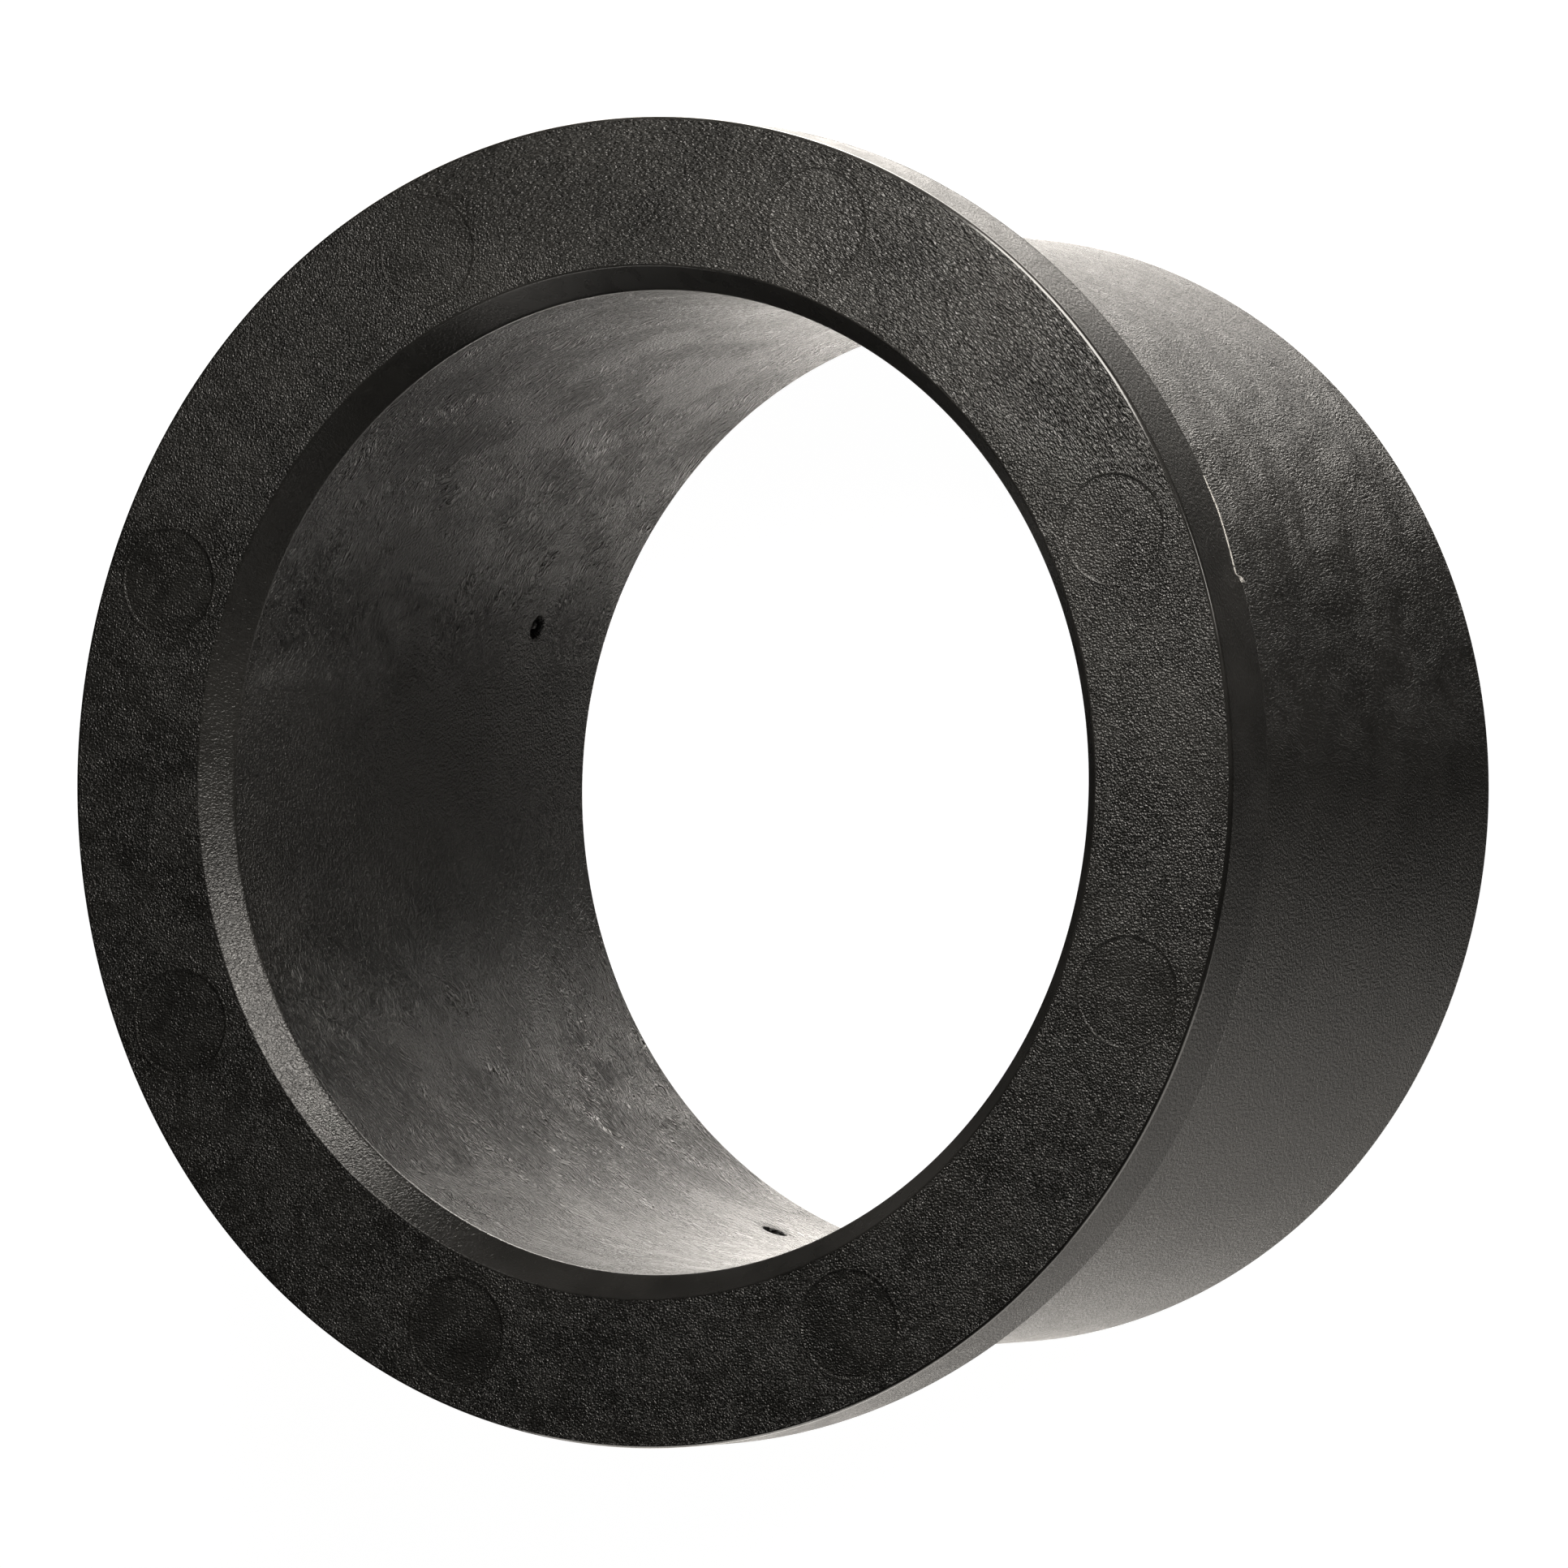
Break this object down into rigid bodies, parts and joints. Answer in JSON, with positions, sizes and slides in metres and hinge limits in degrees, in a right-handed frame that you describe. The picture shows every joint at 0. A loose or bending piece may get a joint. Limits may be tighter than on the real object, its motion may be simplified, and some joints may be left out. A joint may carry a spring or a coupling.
{
  "type": "toilet flange",
  "caption": "Short one-piece black plastic soil-pipe flange: plain spigot tube with a shallow collar and a chamfered through bore.",
  "frame": {"origin": "on the bore axis, at the spigot's end face", "axes": "+Z along the bore, out of the open mouth of the collar; +X is 24.7 degrees before the first ejector mark"},
  "size_m": [0.125, 0.125, 0.071],
  "materials": {
    "black_polyethylene": "as moulded: fine grain on the collar face, satin on the tube and in the bore"
  },
  "bodies": {
    "root": {"flange_body": "black_polyethylene"}
  },
  "joints": []
}
